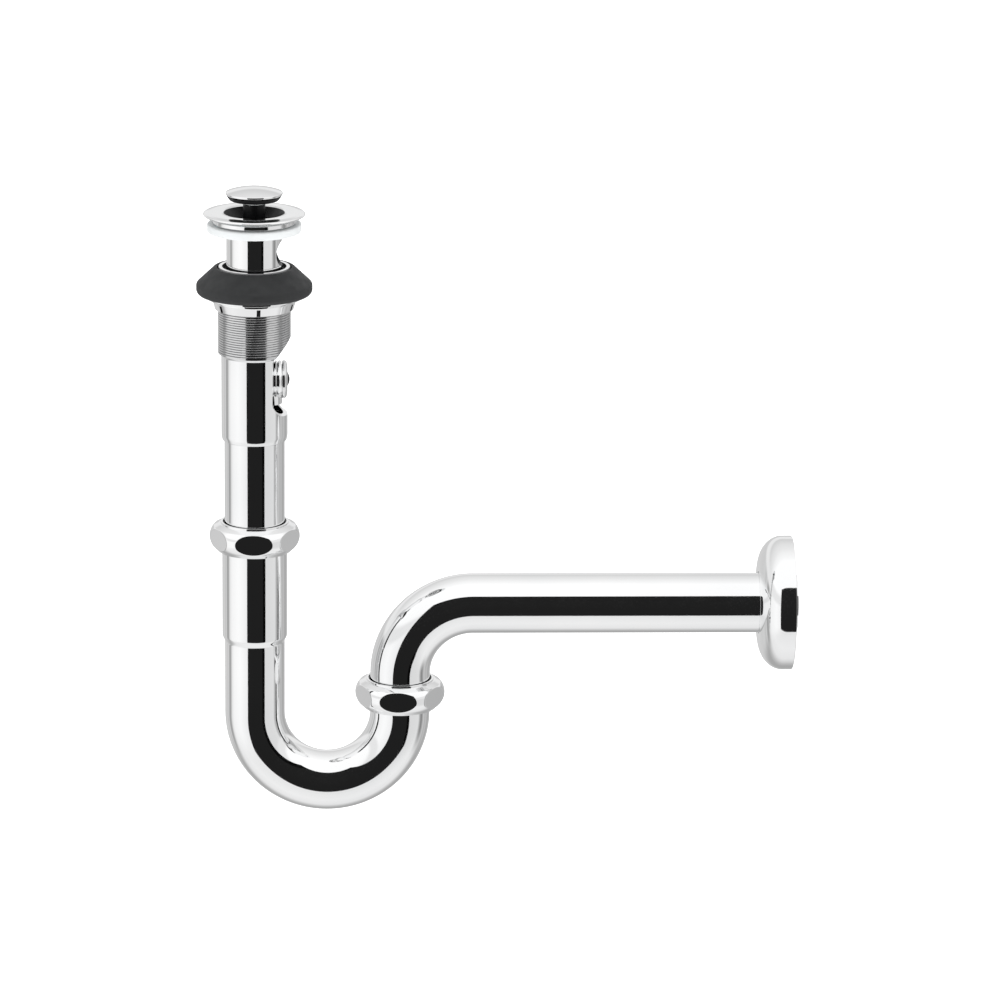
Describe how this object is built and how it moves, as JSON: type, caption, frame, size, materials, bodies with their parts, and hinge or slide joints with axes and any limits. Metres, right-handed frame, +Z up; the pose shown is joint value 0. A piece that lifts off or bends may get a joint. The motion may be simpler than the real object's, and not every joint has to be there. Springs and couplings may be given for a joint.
{
  "type": "basin p trap",
  "caption": "Wash-basin waste trap: pop-up drain with flange and rubber cone, slip-jointed U-bend that keeps a water seal, and a long pipe with a domed rosette to the wall.",
  "frame": {"origin": "on the drain's axis, in the plane of the flange gasket's underside, where it rests in the basin", "axes": "+Z up along the drain's axis, +X towards the wall along the wall pipe, +Y sideways"},
  "size_m": [0.3174, 0.0712, 0.3387],
  "materials": {
    "chrome": "polished chrome plate",
    "satin_chrome": "chrome plate over a cast and threaded surface, slightly dull",
    "stainless_steel": "turned stainless steel",
    "black_plastic": "moulded black resin",
    "black_rubber": "black rubber with a dull sheen",
    "white_plastic": "milky translucent plastic"
  },
  "bodies": {
    "drain": {"drain_flange": "chrome", "drain_barrel": "satin_chrome", "tail_pipe": "chrome", "basin_gasket": "white_plastic", "lever_gland": "satin_chrome", "lever_seat": "white_plastic"},
    "lever": {"lever_ball": "black_plastic", "lever_rod": "stainless_steel"},
    "plug": {"plug_cap": "chrome", "plug_seal": "black_rubber", "seal_retainer": "white_plastic", "plug_stem": "black_plastic", "hair_catcher": "black_plastic", "height_screw": "stainless_steel", "screw_lock_nut": "stainless_steel"},
    "clamp": {"cone_gasket": "black_rubber", "thrust_washer": "chrome"},
    "lock_nut": {"lock_nut": "satin_chrome"},
    "slider": {"inlet_packing": "black_rubber"},
    "trap": {"trap_bend": "chrome", "outlet_packing": "black_rubber"},
    "inlet_washer": {"inlet_slip_washer": "white_plastic"},
    "inlet_nut": {"inlet_nut": "chrome"},
    "outlet_ring": {"outlet_slip_ring": "white_plastic"},
    "outlet_nut": {"outlet_nut": "chrome"},
    "arm": {"wall_pipe": "chrome"},
    "grip": {"flange_grip": "black_rubber"},
    "rosette": {"wall_flange": "chrome"}
  },
  "joints": [
    {"name": "lever_tilt", "type": "hinge", "parent": "drain", "child": "lever", "pos_m": [0.0118, 0, -0.0792], "axis": [0, 1, 0], "range_deg": [-49.9, 0]},
    {"name": "plug_lift", "type": "slide", "parent": "drain", "child": "plug", "axis": [0, 0, 1], "range_m": [-0.0113, 0]},
    {"name": "clamp_lift", "type": "slide", "parent": "drain", "child": "clamp", "axis": [0, 0, 1], "range_m": [-0.00509, 0.00636]},
    {"name": "lock_nut_turn", "type": "hinge", "parent": "clamp", "child": "lock_nut", "pos_m": [0, 0, -0.035], "axis": [0, 0, 1], "range_deg": [-1440, 1800]},
    {"name": "trap_height", "type": "slide", "parent": "drain", "child": "slider", "axis": [0, 0, 1], "range_m": [-0.02, 0.024]},
    {"name": "trap_swivel", "type": "hinge", "parent": "slider", "child": "trap", "pos_m": [0, 0, -0.1639], "axis": [0, 0, 1], "continuous": true},
    {"name": "inlet_nut_lift", "type": "slide", "parent": "trap", "child": "inlet_washer", "axis": [0, 0, 1], "range_m": [0, 0.00693]},
    {"name": "inlet_nut_turn", "type": "hinge", "parent": "inlet_washer", "child": "inlet_nut", "pos_m": [0, 0, -0.1639], "axis": [0, 0, 1], "range_deg": [0, 1080]},
    {"name": "outlet_nut_lift", "type": "slide", "parent": "trap", "child": "outlet_ring", "axis": [0, 0, 1], "range_m": [0, 0.00578]},
    {"name": "outlet_nut_turn", "type": "hinge", "parent": "outlet_ring", "child": "outlet_nut", "pos_m": [0.077, 0, -0.2503], "axis": [0, 0, 1], "range_deg": [0, 900]},
    {"name": "arm_swivel", "type": "hinge", "parent": "trap", "child": "arm", "pos_m": [0.077, 0, -0.2503], "axis": [0, 0, 1], "range_deg": [-130, 130]},
    {"name": "rosette_slide", "type": "slide", "parent": "arm", "child": "grip", "axis": [1, 0, 0], "range_m": [-0.145, 0.002]},
    {"name": "rosette_turn", "type": "hinge", "parent": "grip", "child": "rosette", "pos_m": [0.2845, 0, -0.2016], "axis": [1, 0, 0], "continuous": true}
  ],
  "couplings": [
    {"joint": "plug_lift", "follows": "lever_tilt", "m_per_rad": 0.01298},
    {"joint": "clamp_lift", "follows": "lock_nut_turn", "m_per_rad": 0.00020213},
    {"joint": "inlet_nut_lift", "follows": "inlet_nut_turn", "m_per_rad": 0.0003675},
    {"joint": "outlet_nut_lift", "follows": "outlet_nut_turn", "m_per_rad": 0.0003675}
  ]
}
